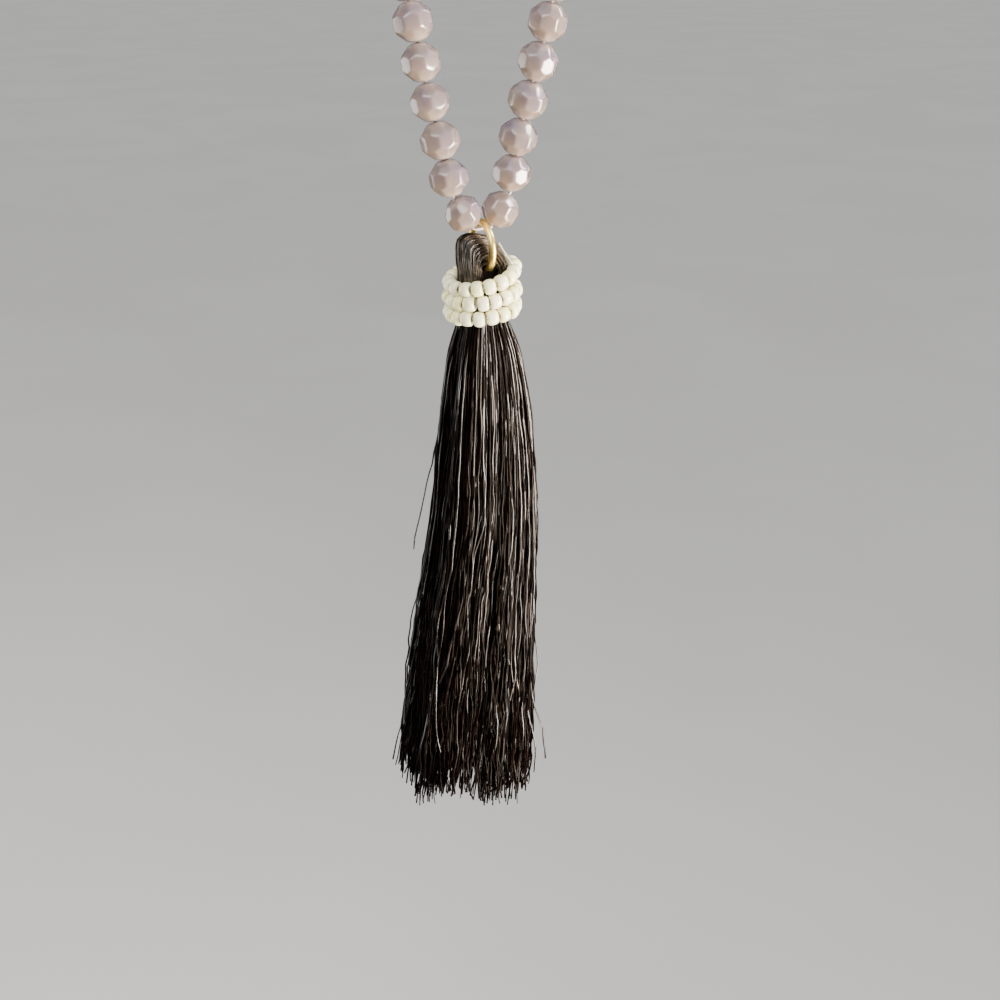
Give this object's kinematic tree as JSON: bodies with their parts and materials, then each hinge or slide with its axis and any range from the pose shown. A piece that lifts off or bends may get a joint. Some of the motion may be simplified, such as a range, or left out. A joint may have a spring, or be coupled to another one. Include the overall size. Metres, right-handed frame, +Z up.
{
  "type": "tassel necklace",
  "caption": "Long necklace of faceted stone beads strung in one loop, with a dark thread tassel bound by a seed bead collar and hung on a gold ring.",
  "frame": {"origin": "the nape, the point of the thread where the loop hangs round the back of the neck", "axes": "+Z up; the wearer faces -Y; +X is the right of someone who looks at the wearer"},
  "size_m": [0.1339, 0.2031, 0.4578],
  "materials": {
    "stone_bead": "polished milky chalcedony, faceted",
    "pale_thread": "twisted thread",
    "gold": "polished gold plate",
    "dark_thread": "silky filament",
    "seed_bead": "glossy opaque ivory glass"
  },
  "bodies": {
    "strands": {"bead_strand_left": "stone_bead", "bead_strand_right": "stone_bead", "bead_thread": "pale_thread"},
    "pendant": {"jump_ring": "gold", "tassel": "dark_thread", "seed_bead_collar": "seed_bead"}
  },
  "joints": [
    {"name": "tassel_swing", "type": "hinge", "parent": "strands", "child": "pendant", "pos_m": [0, -0.1815, -0.30646], "axis": [0.8988, 0.4384, 0], "range_deg": [-30, 30]}
  ]
}
